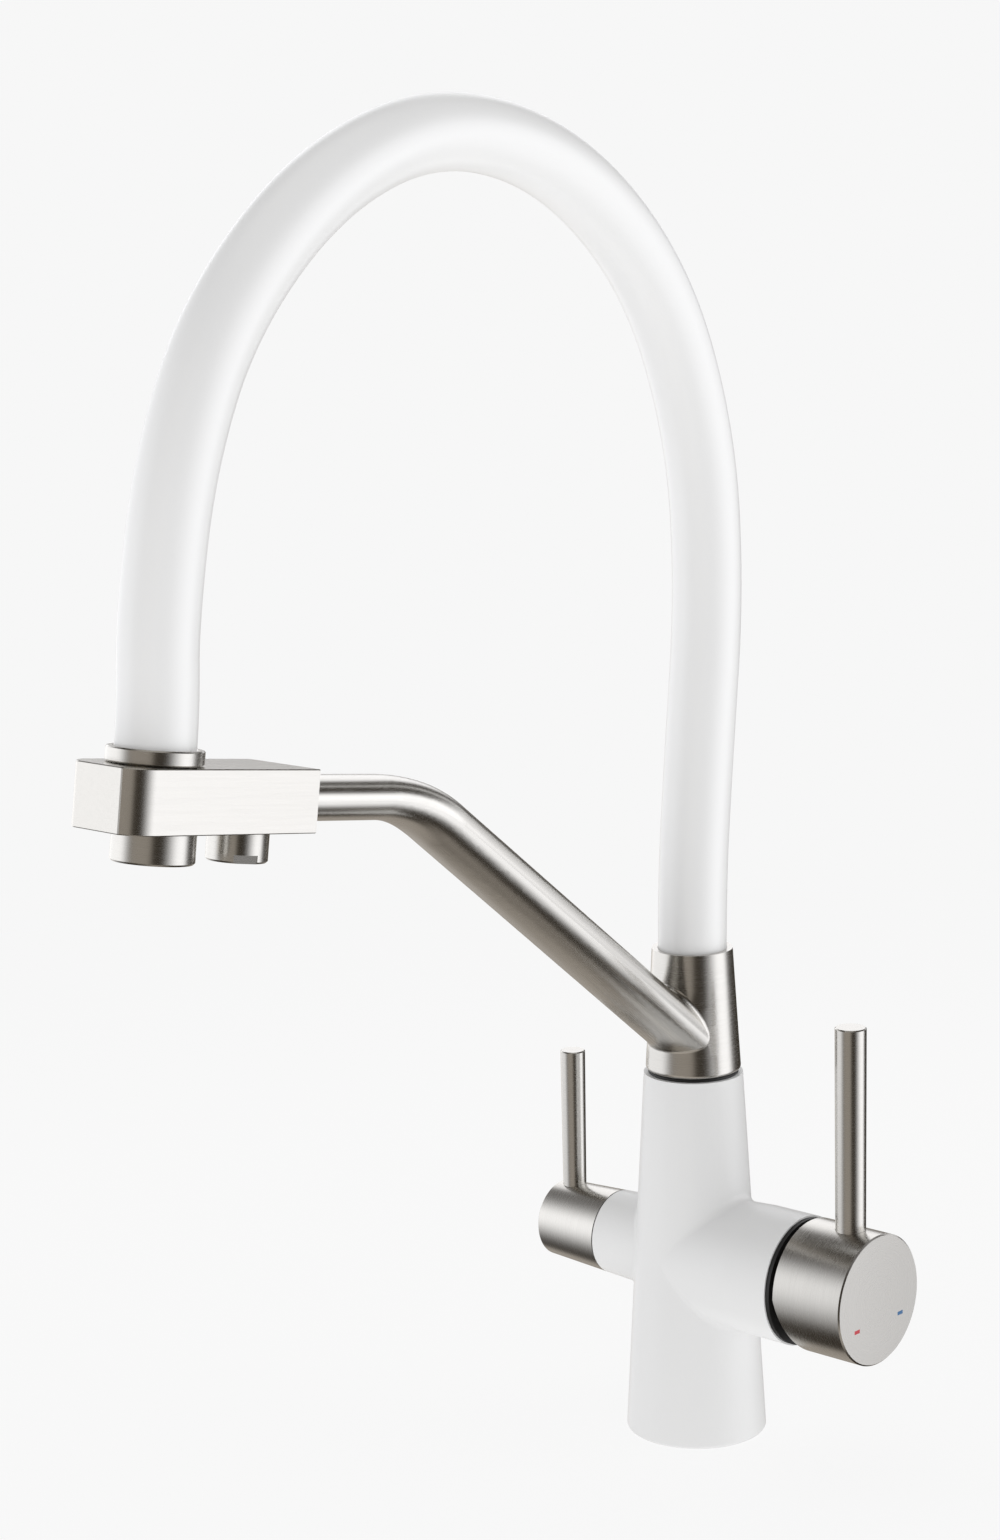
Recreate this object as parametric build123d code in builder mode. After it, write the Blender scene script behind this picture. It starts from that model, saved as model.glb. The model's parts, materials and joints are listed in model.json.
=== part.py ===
from build123d import *

import os
from math import acos, cos, degrees, radians, sin, sqrt, tan

# Kitchen mixer tap: origin on the worktop at the middle of the base, +Z up, spout towards -Y,
# mixer handle towards +X, filtered-water handle towards -X. Sizes in millimetres, angles in degrees.

# Clearances
turning_fit = 0.05          # radial gap of a turning fit
seated_fit = 0.1            # radial gap of a piece that sits still in its seat
face_film = 0.05            # gap between flat faces that slide on each other

# Cast body
base_r = 25.0
body_top_r = 17.5
body_height = 131.3
base_rounding = 1.2
arm_blend_r = 3.0           # soft corner where the side arms leave the column
handle_z = 64.65            # height of both valves' line

# Underside of the body
recess_r = 18.0
recess_depth = 12.0
seal_middle_r = 21.6
seal_section_r = 1.3
inlet_r = 4.5               # tapping size of an M10 x 1 supply tail
inlet_thread = 14.0
mixer_inlet_x = 9.0
mixer_inlet_y = 7.5
filter_inlet_x = -10.0
stud_r = 2.5                # tapping size of an M6 fixing stud
stud_thread = 14.0
stud_x = -3.0
stud_spacing = 26.0

# Waterways in the body
mixer_way_r = 3.0
mixed_way_r = 3.5
filter_way_r = 1.5
filtered_way_x = -6.0

# Mixer side arm and cartridge, measured along +X
mixer_arm_r = 22.8
mixer_arm_inset = 0.2       # how far the arm's root stays under the column's surface
mixer_arm_flare = 30.0      # where the arm reaches its full width
mixer_arm_end = 48.6
cartridge_seat = 16.0
cartridge_r = 17.5
cartridge_wall = 2.1
port_side = 7.5             # hot and cold ports, to the sides of the line
port_rise = 4.0             # and above it
port_fall = 7.5             # mixed water port, below the line
port_seal_r = 4.4
port_seal_thickness = 1.8
cartridge_floor = 3.0
disc_thickness = 4.0
fixed_disc_r = 14.5
moving_disc_r = 11.5
disc_recess_r = 6.5
disc_recess_depth = 2.2
disc_recess_fall = 2.6      # the recess's middle below the line, with the valve shut
holder_r = 11.0
holder_thickness = 5.0
ball_r = 2.8
ball_play = 0.4
ball_sink = 0.8             # the ball's middle below the holder's top
stem_reach = 8.0            # from the ball's middle to the pivot pin
pin_r = 1.5
carrier_gap = 0.35
carrier_flange = 3.6
carrier_r = 14.9
neck_r = 11.1
neck_length = 9.0
slot_width = 9.0
slot_length = 16.0
stem_width = 8.6
stem_square = 8.0
shank_r = 2.3
lid_thickness = 2.0
nut_r = 19.6
nut_length = 7.7
nut_bore_r = 13.0
nut_key = 30.0
nut_key_depth = 3.0
dust_ring_r = 22.2
dust_ring_thickness = 1.6
dust_ring_bore_r = 18.2

# Mixer handle
cap_gap = 2.1               # from the dust ring to the cap's back edge
cap_r = 22.8
cap_length = 27.9
cap_wall = 2.2
cap_face_thickness = 3.0
cap_relief = 15.0           # slope of the cap's lower back edge, which lets it tilt
cap_edge = 0.5
boss_r = 9.0
boss_depth = 19.0           # from the cap's face to the boss's open end
stem_depth = 8.0            # from the cap's face to the stem's end
lever_inset = 11.8          # from the cap's face to the lever's line
lever_top_r = 5.4
lever_foot_r = 5.25
lever_top_z = 158.3
lever_edge = 0.4
lever_flat = 0.5            # depth of the flat that the lever stands on
lever_spigot_r = 4.0
lever_spigot = 9.0
lever_pad_r = 6.5
grub_r = 2.5
grub_inset = 13.5           # from the cap's face to the grub screw
mark_width = 3.0
mark_height = 1.3
mark_depth = 0.4
mark_side = 12.4
mark_drop = 7.9
flow_angle = 24.0           # how far the handle tilts outwards

# Filtered-water side arm and valve, measured along -X
filter_cone_root_r = 16.9   # radius the cone would have at the column's middle line
filter_cone_end_r = 13.87
filter_seat = 15.0
filter_bore_r = 10.2
filter_gasket_thickness = 1.5
filter_port_side = 4.0
filter_disc_r = 7.6
filter_disc_thickness = 3.5
filter_disc_play = 0.3
filter_spindle_r = 4.0
spindle_flange_r = 7.0
spindle_flange = 1.3
headwork_length = 19.5
headwork_lid = 10.8
spindle_ring_section = 0.9
filter_arm_end = 35.4
filter_seam = 0.45
filter_cap_length = 27.2
filter_cap_bore_r = 11.6
filter_cap_face = 2.5
filter_boss_r = 6.5
filter_boss_depth = 20.0
spindle_depth = 6.5         # from the cap's face to the spindle's end
filter_lever_inset = 6.4    # from the cap's face to the lever's line
filter_lever_top_r = 4.5
filter_lever_foot_r = 4.25
filter_lever_top_z = 129.3
filter_spigot_r = 3.0
filter_spigot = 6.0
filter_pad_r = 5.0
filter_grub_r = 1.5
filter_grub_inset = 15.0

# Swivel post in the body's top
post_r = 10.95
post_thread_r = 12.0
post_depth = 22.0
post_rise = 29.0
post_ring_section = 1.25
post_ring_low = 9.7         # heights above the body's top
post_ring_high = 24.2
post_channel = 16.9
post_channel_width = 7.0
post_channel_depth = 3.0
keeper_height = 5.2
keeper_groove = 4.8
keeper_depth = 1.6
keeper_r = 2.0
keeper_play = 0.4
slip_ring_thickness = 1.0
slip_ring_r = 15.9

# Collar and arm
collar_bottom_r = 16.85
collar_top_r = 14.2
collar_height = 43.8
collar_rounding = 1.5
web_gap = 0.7
web_thickness = 5.0
arm_joint_height = 8.0      # where the arm's line meets the collar's, above the collar's bottom
arm_root_half_width = 13.8  # the arm is oval: half its width and height at the collar,
arm_root_half_height = 8.6
arm_bend_half_width = 12.8  # at the top of its slope
arm_bend_half_height = 8.5
arm_stub_half_width = 11.0  # and at the outlet block
arm_stub_half_height = 7.1
arm_bend_radius = 60.0
arm_channel_r = 5.0
arm_port_r = 3.5
arm_weld_r = 1.4
stub_length = 54.0          # from the outlet block to the corner of the arm's line
stub_sink = 0.6             # how far the stub lies below the middle of the block
stub_spigot_r = 6.0
stub_spigot = 9.0

# Outlet block, tilted tip-up; its frame is on its top face, on the hose's line
reach = 244.1
block_top_z = 276.1
block_pitch = 8.2
block_height = 19.2
block_half_width = 15.6
block_front_half = 9.8
block_front = 20.7
block_back = 52.2
block_shoulder_r = 10.0
block_edge = 0.3

# Nozzles under the outlet block
nozzle_shift = 1.7          # from the hose's line towards the arm
nozzle_r = 12.45
nozzle_drop = 9.4
nozzle_spigot_r = 10.9
nozzle_spigot = 5.0
nozzle_bore_r = 9.4
nozzle_lip_r = 8.6
nozzle_lip = 1.2
nozzle_insert = 6.0
nozzle_washer = 1.5
nozzle_edge = 0.6
jet_r = 0.75
spray_shift = 34.9
spray_r = 9.35
spray_drop = 9.7
spray_spigot_r = 7.6
spray_spigot = 4.0
spray_bore_r = 6.4
spray_lip_r = 5.6
spray_insert = 5.0
spray_way_r = 4.2           # bore from the arm's waterway down to the nozzle
key_width = 7.4
key_height = 2.6
key_depth = 1.0
key_turn = -25.0

# Hose
hose_r = 12.0
hose_bore_r = 8.4
hose_fit = 0.15
core_r = 6.5
core_bore_r = 4.1
nipple_thread_r = 5.0
nipple_flange_r = 7.5
nipple_flange = 4.0
nipple_bore_r = 2.6
barb_length = 12.0
block_barb_length = 6.0
ferrule_wall = 1.3
ferrule_gap = 0.4
hose_ring_r = 14.45
hose_ring_height = 4.4
hose_ring_gap = 0.35
hose_ring_edge = 0.4
hose_end_run = 16.0

# Places worked out from the sizes above
upright = Plane(origin=(0, 0, 0), x_dir=(0, 0, 1), z_dir=(0, -1, 0))
mixer_line = Plane(origin=(0, 0, handle_z), x_dir=(1, 0, 0), z_dir=(0, -1, 0))
filter_line = Plane(origin=(0, 0, handle_z), x_dir=(-1, 0, 0), z_dir=(0, 1, 0))
mixer_face = Plane(origin=(0, 0, handle_z), x_dir=(0, 1, 0), z_dir=(1, 0, 0))
filter_face = Plane(origin=(0, 0, handle_z), x_dir=(0, -1, 0), z_dir=(-1, 0, 0))

fixed_disc_x = cartridge_seat + cartridge_floor
moving_disc_x = fixed_disc_x + disc_thickness + face_film
holder_x = moving_disc_x + disc_thickness
holder_top = holder_x + holder_thickness
ball_x = holder_top - ball_sink
pin_x = ball_x + stem_reach
carrier_x = holder_top + carrier_gap
lid_x = carrier_x + carrier_flange + carrier_gap
nut_x = lid_x + lid_thickness
nut_end = nut_x + nut_length
column_r = base_r + (body_top_r - base_r) * handle_z / body_height
mixer_arm_root_r = column_r - mixer_arm_inset
dust_ring_end = mixer_arm_end + dust_ring_thickness
cap_back = dust_ring_end + cap_gap
cap_face = cap_back + cap_length
stem_end = cap_face - stem_depth
lever_x = cap_face - lever_inset
lever_foot_z = handle_z + cap_r - lever_flat
disc_travel = stem_reach * radians(flow_angle)
ports = [(-port_side, port_rise), (port_side, port_rise), (0, -port_fall)]

filter_fixed_u = filter_seat + filter_gasket_thickness
filter_moving_u = filter_fixed_u + filter_disc_thickness + face_film
filter_flange_u = filter_moving_u + filter_disc_thickness
headwork_end = filter_fixed_u + headwork_length
filter_cap_back = filter_arm_end + filter_seam
filter_cap_end = filter_cap_back + filter_cap_length
filter_spindle_end = filter_cap_end - spindle_depth
filter_lever_u = filter_cap_end - filter_lever_inset
filter_taper = (filter_cone_root_r - filter_cone_end_r) / filter_cap_end
filter_ports = [(0, -filter_port_side), (0, filter_port_side)]

collar_bottom = body_height + slip_ring_thickness
collar_top = collar_bottom + collar_height
collar_bore_r = post_r + turning_fit
post_top = body_height + post_rise
web_bottom = post_top + web_gap
hose_seat = web_bottom + web_thickness
hose_socket_r = hose_r + hose_fit
arm_joint = Vector(0, 0, collar_bottom + arm_joint_height)

tilt_up = Vector(0, sin(radians(block_pitch)), cos(radians(block_pitch)))
tilt_in = Vector(0, cos(radians(block_pitch)), -sin(radians(block_pitch)))
block_origin = Vector(0, -reach, block_top_z)
block_top = Plane(origin=block_origin, x_dir=(1, 0, 0), z_dir=tilt_up)
nozzle_spot = block_origin + tilt_in * nozzle_shift - tilt_up * block_height
spray_spot = block_origin + tilt_in * spray_shift - tilt_up * block_height
nozzle_line = Plane(origin=nozzle_spot, x_dir=-tilt_up, z_dir=(1, 0, 0))
spray_line = Plane(origin=spray_spot, x_dir=-tilt_up, z_dir=(1, 0, 0))
hose_line = Plane(origin=block_origin, x_dir=tilt_up, z_dir=(1, 0, 0))
stub_root = block_origin + tilt_in * block_back - tilt_up * (block_height / 2 + stub_sink)
arm_corner = stub_root + tilt_in * stub_length
arm_slope = (arm_joint - arm_corner).normalized()

# The hose's line in the Y-Z plane, between its seat in the collar and the outlet block
hose_points = [
    (0, 197), (4.5, 243), (11, 300), (7, 355), (-16, 409), (-62, 447),
    (-118, 459), (-170, 442), (-212, 404), (-232, 362), (-241, 316),
]


def turned(plane, profile):
    """A solid turned about the plane's x axis from closed (along, radius) points."""
    with BuildPart() as piece:
        with BuildSketch(plane):
            with BuildLine():
                Polyline(*profile, close=True)
            make_face()
        revolve(axis=Axis(plane.origin, plane.x_dir))
    return piece.part


def sleeve(start, end, inner, outer):
    """The (along, radius) outline of a plain ring."""
    return [(start, inner), (end, inner), (end, outer), (start, outer)]


def rod(start, end, radius):
    """The (along, radius) outline of a plain rod."""
    return sleeve(start, end, 0, radius)


def seal_ring(plane, along, middle, section):
    """A round sealing ring about the plane's x axis."""
    with BuildPart() as piece:
        with BuildSketch(plane):
            with Locations((along, middle)):
                Circle(section)
        revolve(axis=Axis(plane.origin, plane.x_dir))
    return piece.part


def grub_screw(plane, start, end, radius):
    """A headless screw along the plane's z axis, with a hexagon socket in its outer end."""
    with BuildPart() as piece:
        with BuildSketch(plane.offset(start)):
            Circle(radius)
        extrude(amount=end - start)
        chamfer(piece.edges().filter_by(GeomType.CIRCLE), radius * 0.15)
        with BuildSketch(plane.offset(end)):
            RegularPolygon(radius * 0.6, 6)
        extrude(amount=-(end - start) / 2, mode=Mode.SUBTRACT)
    return piece.part


def hose_tube(start, end, outer, inner):
    """A tube along the hose's line, each bend as wide as its two runs allow."""
    points = [start] + [Vector(0, y, z) for y, z in hose_points]
    points += [block_origin + tilt_up * hose_end_run, end]
    radii = []
    for before, corner, after in zip(points, points[1:], points[2:]):
        turn = radians((corner - before).get_angle(after - corner))
        shorter = min((corner - before).length, (after - corner).length)
        radii.append(0.45 * shorter / tan(turn / 2))
    with BuildPart() as piece:
        with BuildLine() as line:
            FilletPolyline(*points, radius=radii)
        with BuildSketch(Plane(origin=start, x_dir=(1, 0, 0), z_dir=(0, 0, 1))):
            Circle(outer)
            Circle(inner, mode=Mode.SUBTRACT)
        sweep()
    length = sum(edge.length for edge in line.edges())
    section = radians(180) * (outer ** 2 - inner ** 2)
    print("hose bend radii", [round(r) for r in radii], "length", round(length, 1))
    print("volume over section times length", round(piece.part.volume / (section * length), 4))
    return piece.part


def filter_cone_r(u):
    """Radius of the filtered-water arm's cone at a distance from the column's middle line."""
    return filter_cone_root_r - filter_taper * u


def post_groove(height, width, depth):
    """A ring of the swivel post's wall, as a turned groove."""
    middle = body_height + height
    return turned(upright, sleeve(middle - width / 2, middle + width / 2, post_r - depth, post_r + depth))


# Cast body with its two side arms
with BuildPart() as mixer_body:
    add(turned(upright, [(0, 0), (0, base_r), (body_height, body_top_r), (body_height, 0)]))
    fillet(mixer_body.edges().group_by(Axis.Z)[0], base_rounding)
    mixer_arm = [(0, 0), (0, mixer_arm_root_r), (mixer_arm_flare, mixer_arm_r)]
    add(turned(mixer_line, mixer_arm + [(mixer_arm_end, mixer_arm_r), (mixer_arm_end, 0)]))
    fillet(mixer_body.edges(Select.NEW), arm_blend_r)
    filter_arm = [(0, 0), (0, filter_cone_r(0)), (filter_arm_end, filter_cone_r(filter_arm_end))]
    add(turned(filter_line, filter_arm + [(filter_arm_end, 0)]))
    fillet(mixer_body.edges(Select.NEW), arm_blend_r)
    # valve bores
    add(turned(mixer_line, rod(cartridge_seat, mixer_arm_end, cartridge_r + seated_fit)), mode=Mode.SUBTRACT)
    add(turned(mixer_line, rod(nut_x, mixer_arm_end, nut_r + seated_fit)), mode=Mode.SUBTRACT)
    add(turned(filter_line, rod(filter_seat, filter_arm_end, filter_bore_r)), mode=Mode.SUBTRACT)
    # socket of the swivel post
    post_seat = body_height - post_depth
    add(turned(upright, rod(post_seat, body_height, post_thread_r + seated_fit)), mode=Mode.SUBTRACT)
    # recess, seal groove, supply and stud holes in the base
    add(turned(upright, rod(0, recess_depth, recess_r)), mode=Mode.SUBTRACT)
    groove = sleeve(0, 2 * seal_section_r, seal_middle_r - seal_section_r - seated_fit,
                    seal_middle_r + seal_section_r + seated_fit)
    add(turned(upright, groove), mode=Mode.SUBTRACT)
    mixer_inlets = [(mixer_inlet_x, -mixer_inlet_y), (mixer_inlet_x, mixer_inlet_y)]
    inlets = mixer_inlets + [(filter_inlet_x, 0)]
    with BuildSketch(Plane.XY.offset(recess_depth)):
        with Locations(*inlets):
            Circle(inlet_r)
    extrude(amount=inlet_thread, mode=Mode.SUBTRACT)
    with BuildSketch(Plane.XY.offset(recess_depth)):
        with Locations((stud_x, -stud_spacing / 2), (stud_x, stud_spacing / 2)):
            Circle(stud_r)
    extrude(amount=stud_thread, mode=Mode.SUBTRACT)
    # upright waterways: hot, cold and filter feed, then mixed and filtered water
    with BuildSketch(Plane.XY.offset(recess_depth)):
        with Locations(*mixer_inlets):
            Circle(mixer_way_r)
    extrude(amount=handle_z + port_rise - recess_depth, mode=Mode.SUBTRACT)
    with BuildSketch(Plane.XY.offset(recess_depth)):
        with Locations((filter_inlet_x, 0)):
            Circle(filter_way_r)
    extrude(amount=handle_z - filter_port_side - recess_depth, mode=Mode.SUBTRACT)
    with BuildSketch(Plane.XY.offset(handle_z - port_fall)):
        Circle(mixed_way_r)
    extrude(amount=post_seat - handle_z + port_fall, mode=Mode.SUBTRACT)
    with BuildSketch(Plane.XY.offset(handle_z + filter_port_side)):
        with Locations((filtered_way_x, 0)):
            Circle(filter_way_r)
    extrude(amount=post_seat - handle_z - filter_port_side, mode=Mode.SUBTRACT)
    # level waterways to the two valve seats
    with BuildSketch(mixer_face.offset(mixer_inlet_x)):
        with Locations((-port_side, port_rise), (port_side, port_rise)):
            Circle(mixer_way_r)
    extrude(amount=cartridge_seat - mixer_inlet_x, mode=Mode.SUBTRACT)
    with BuildSketch(mixer_face):
        with Locations((0, -port_fall)):
            Circle(mixer_way_r)
    extrude(amount=cartridge_seat, mode=Mode.SUBTRACT)
    with BuildSketch(filter_face.offset(-filter_inlet_x)):
        with Locations((0, -filter_port_side)):
            Circle(filter_way_r)
    extrude(amount=filter_seat + filter_inlet_x, mode=Mode.SUBTRACT)
    with BuildSketch(filter_face.offset(-filtered_way_x)):
        with Locations((0, filter_port_side)):
            Circle(filter_way_r)
    extrude(amount=filter_seat + filtered_way_x, mode=Mode.SUBTRACT)

with BuildPart() as base_seal:
    add(seal_ring(upright, seal_section_r, seal_middle_r, seal_section_r))

# Mixer cartridge, from its floor outwards
with BuildPart() as cartridge_base:
    with BuildSketch(mixer_face.offset(cartridge_seat)):
        Circle(cartridge_r)
        with Locations(*ports):
            Circle(mixer_way_r, mode=Mode.SUBTRACT)
    extrude(amount=cartridge_floor)
    with BuildSketch(mixer_face.offset(cartridge_seat)):
        with Locations(*ports):
            Circle(port_seal_r)
    extrude(amount=port_seal_thickness, mode=Mode.SUBTRACT)

with BuildPart() as cartridge_seals:
    with BuildSketch(mixer_face.offset(cartridge_seat)):
        with Locations(*ports):
            Circle(port_seal_r - turning_fit)
            Circle(mixer_way_r, mode=Mode.SUBTRACT)
    extrude(amount=port_seal_thickness)

with BuildPart() as fixed_disc:
    with BuildSketch(mixer_face.offset(fixed_disc_x)):
        Circle(fixed_disc_r)
        with Locations(*ports):
            Circle(mixer_way_r, mode=Mode.SUBTRACT)
    extrude(amount=disc_thickness)

with BuildPart() as moving_disc:
    with BuildSketch(mixer_face.offset(moving_disc_x)):
        with Locations((0, -disc_travel / 2)):
            Circle(moving_disc_r)
    extrude(amount=disc_thickness)
    with BuildSketch(mixer_face.offset(moving_disc_x)):
        with Locations((0, -disc_recess_fall)):
            Circle(disc_recess_r)
    extrude(amount=disc_recess_depth, mode=Mode.SUBTRACT)

with BuildPart() as disc_holder:
    with BuildSketch(mixer_face.offset(holder_x)):
        with Locations((0, -disc_travel / 2)):
            Circle(holder_r)
    extrude(amount=holder_thickness)
    ball_room = ball_r + ball_play
    add(turned(mixer_line, rod(ball_x - ball_room, holder_top, ball_room)), mode=Mode.SUBTRACT)

with BuildPart() as cartridge_carrier:
    neck_x = carrier_x + carrier_flange
    add(turned(mixer_line, rod(carrier_x, neck_x, carrier_r)))
    add(turned(mixer_line, rod(neck_x, neck_x + neck_length, neck_r)))
    with BuildSketch(mixer_face.offset(carrier_x)):
        Rectangle(slot_width, slot_length)
    extrude(amount=carrier_flange + neck_length, mode=Mode.SUBTRACT)
    with BuildSketch(mixer_line):
        with Locations((pin_x, 0)):
            Circle(pin_r)
    extrude(amount=neck_r, both=True, mode=Mode.SUBTRACT)

with BuildPart() as stem_pin:
    with BuildSketch(mixer_line):
        with Locations((pin_x, 0)):
            Circle(pin_r)
    extrude(amount=sqrt(neck_r ** 2 - pin_r ** 2) - seated_fit, both=True)

with BuildPart() as cartridge_stem:
    with BuildSketch(mixer_line):
        with BuildLine():
            Line((ball_x - ball_r, 0), (ball_x + ball_r, 0))
            CenterArc((ball_x, 0), ball_r, 0, 180)
        make_face()
    revolve(axis=Axis(mixer_line.origin, mixer_line.x_dir))
    add(turned(mixer_line, rod(ball_x, pin_x, shank_r)))
    with BuildSketch(mixer_face.offset(pin_x - stem_square / 2)):
        Rectangle(stem_width, stem_square)
    extrude(amount=stem_square)
    with BuildSketch(mixer_face.offset(pin_x)):
        Rectangle(stem_square, stem_square)
    extrude(amount=stem_end - pin_x)
    with BuildSketch(mixer_line):
        with Locations((pin_x, 0)):
            Circle(pin_r + turning_fit)
    extrude(amount=stem_width, both=True, mode=Mode.SUBTRACT)

with BuildPart() as cartridge_housing:
    add(turned(mixer_line, rod(fixed_disc_x, nut_x, cartridge_r)))
    add(turned(mixer_line, rod(fixed_disc_x, lid_x, cartridge_r - cartridge_wall)), mode=Mode.SUBTRACT)
    add(turned(mixer_line, rod(lid_x, nut_x, neck_r + 2 * turning_fit)), mode=Mode.SUBTRACT)

with BuildPart() as cartridge_nut:
    add(turned(mixer_line, sleeve(nut_x, nut_end, nut_bore_r, nut_r)))
    with BuildSketch(mixer_face.offset(nut_end)):
        RegularPolygon(nut_key / 2, 6, major_radius=False)
    extrude(amount=-nut_key_depth, mode=Mode.SUBTRACT)

with BuildPart() as dust_ring:
    add(turned(mixer_line, sleeve(nut_end, dust_ring_end, dust_ring_bore_r, nut_r)))
    add(turned(mixer_line, sleeve(mixer_arm_end, dust_ring_end, dust_ring_bore_r, dust_ring_r)))

# Mixer handle
lever_line = Plane(origin=(lever_x, 0, 0), x_dir=(0, 0, 1), z_dir=(0, -1, 0))
grub_plane = Plane(origin=(cap_face - grub_inset, 0, handle_z), x_dir=(1, 0, 0), z_dir=(0, 0, -1))
mark_places = {"hot": (-mark_side, -mark_drop), "cold": (mark_side, -mark_drop)}

with BuildPart() as mixer_cap:
    add(turned(mixer_line, rod(cap_back, cap_face, cap_r)))
    chamfer(mixer_cap.edges().group_by(Axis.X)[-1], cap_edge)
    cap_floor = cap_face - cap_face_thickness
    add(turned(mixer_line, rod(cap_back, cap_floor, cap_r - cap_wall)), mode=Mode.SUBTRACT)
    add(turned(mixer_line, rod(cap_face - boss_depth, cap_floor, boss_r)))
    add(turned(lever_line, rod(handle_z, handle_z + cap_r - cap_wall / 2, lever_pad_r)))
    # the lower back edge slopes away so that the cap can tilt
    with BuildSketch(mixer_line):
        low = 1.1 * cap_r
        with BuildLine():
            slope_end = cap_back + low * tan(radians(cap_relief))
            Polyline((cap_back, 0), (slope_end, -low), (cap_back, -low), close=True)
        make_face()
    extrude(amount=low, both=True, mode=Mode.SUBTRACT)
    # square hole of the stem
    with BuildSketch(mixer_face.offset(cap_face - boss_depth)):
        Rectangle(stem_square + seated_fit, stem_square + seated_fit)
    extrude(amount=boss_depth - stem_depth + seated_fit, mode=Mode.SUBTRACT)
    # flat and hole of the lever
    flat_room = rod(lever_foot_z, lever_foot_z + cap_r, lever_foot_r + seated_fit)
    add(turned(lever_line, flat_room), mode=Mode.SUBTRACT)
    spigot_end = lever_foot_z - lever_spigot
    add(turned(lever_line, rod(spigot_end, lever_foot_z, lever_spigot_r)), mode=Mode.SUBTRACT)
    # tapped hole of the grub screw and the way to it through the wall
    with BuildSketch(grub_plane):
        Circle(grub_r)
    extrude(amount=cap_r, mode=Mode.SUBTRACT)
    # pockets of the two colour marks
    with BuildSketch(mixer_face.offset(cap_face)):
        with Locations(*mark_places.values()):
            Rectangle(mark_width, mark_height)
    extrude(amount=-mark_depth, mode=Mode.SUBTRACT)

with BuildPart() as mixer_lever:
    add(turned(lever_line, [
        (spigot_end, 0), (spigot_end, lever_spigot_r), (lever_foot_z, lever_spigot_r),
        (lever_foot_z, lever_foot_r), (lever_top_z - lever_edge, lever_top_r),
        (lever_top_z, lever_top_r - lever_edge), (lever_top_z, 0)]))

with BuildPart() as mixer_grub_screw:
    add(grub_screw(grub_plane, (stem_square + seated_fit) / 2, boss_r - seated_fit, grub_r))

with BuildPart() as hot_mark:
    with BuildSketch(mixer_face.offset(cap_face - mark_depth)):
        with Locations(mark_places["hot"]):
            Rectangle(mark_width, mark_height)
    extrude(amount=mark_depth)

with BuildPart() as cold_mark:
    with BuildSketch(mixer_face.offset(cap_face - mark_depth)):
        with Locations(mark_places["cold"]):
            Rectangle(mark_width, mark_height)
    extrude(amount=mark_depth)

# Filtered-water valve
headwork_r = filter_bore_r - seated_fit
disc_room_r = filter_disc_r + seated_fit
disc_room_end = headwork_end - headwork_lid
spindle_ring_u = headwork_end - headwork_lid / 2
spindle_ring_r = filter_spindle_r + turning_fit - spindle_ring_section

with BuildPart() as filter_gasket:
    with BuildSketch(filter_face.offset(filter_seat)):
        Circle(headwork_r)
        with Locations(*filter_ports):
            Circle(filter_way_r, mode=Mode.SUBTRACT)
    extrude(amount=filter_gasket_thickness)

with BuildPart() as filter_headwork:
    add(turned(filter_line, rod(filter_fixed_u, headwork_end, headwork_r)))
    add(turned(filter_line, rod(filter_fixed_u, disc_room_end, disc_room_r)), mode=Mode.SUBTRACT)
    spindle_hole = rod(disc_room_end, headwork_end, filter_spindle_r + 2 * turning_fit)
    add(turned(filter_line, spindle_hole), mode=Mode.SUBTRACT)

with BuildPart() as filter_fixed_disc:
    with BuildSketch(filter_face.offset(filter_fixed_u)):
        Circle(filter_disc_r)
        with Locations(*filter_ports):
            Circle(filter_way_r, mode=Mode.SUBTRACT)
    extrude(amount=filter_disc_thickness)

with BuildPart() as filter_moving_disc:
    with BuildSketch(filter_face.offset(filter_moving_u)):
        Circle(disc_room_r - filter_disc_play)
    extrude(amount=filter_disc_thickness)
    with BuildSketch(filter_face.offset(filter_moving_u)):
        Rectangle(2 * filter_port_side + 2 * filter_way_r, 2 * filter_way_r)
    extrude(amount=filter_disc_thickness / 2, mode=Mode.SUBTRACT)

with BuildPart() as filter_spindle:
    add(turned(filter_line, rod(filter_flange_u, filter_flange_u + spindle_flange, spindle_flange_r)))
    add(turned(filter_line, rod(filter_flange_u, filter_spindle_end, filter_spindle_r)))
    ring_room = sleeve(spindle_ring_u - spindle_ring_section - seated_fit,
                       spindle_ring_u + spindle_ring_section + seated_fit,
                       spindle_ring_r - spindle_ring_section - turning_fit, filter_spindle_r + seated_fit)
    add(turned(filter_line, ring_room), mode=Mode.SUBTRACT)

with BuildPart() as spindle_seal:
    add(seal_ring(filter_line, spindle_ring_u, spindle_ring_r, spindle_ring_section))

# Filtered-water handle
filter_lever_line = Plane(origin=(-filter_lever_u, 0, 0), x_dir=(0, 0, 1), z_dir=(0, -1, 0))
filter_lever_foot_z = handle_z + filter_cone_r(filter_lever_u) - lever_flat
filter_grub_u = filter_cap_end - filter_grub_inset
filter_grub_plane = Plane(origin=(-filter_grub_u, 0, handle_z), x_dir=(1, 0, 0), z_dir=(0, 0, -1))

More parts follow.
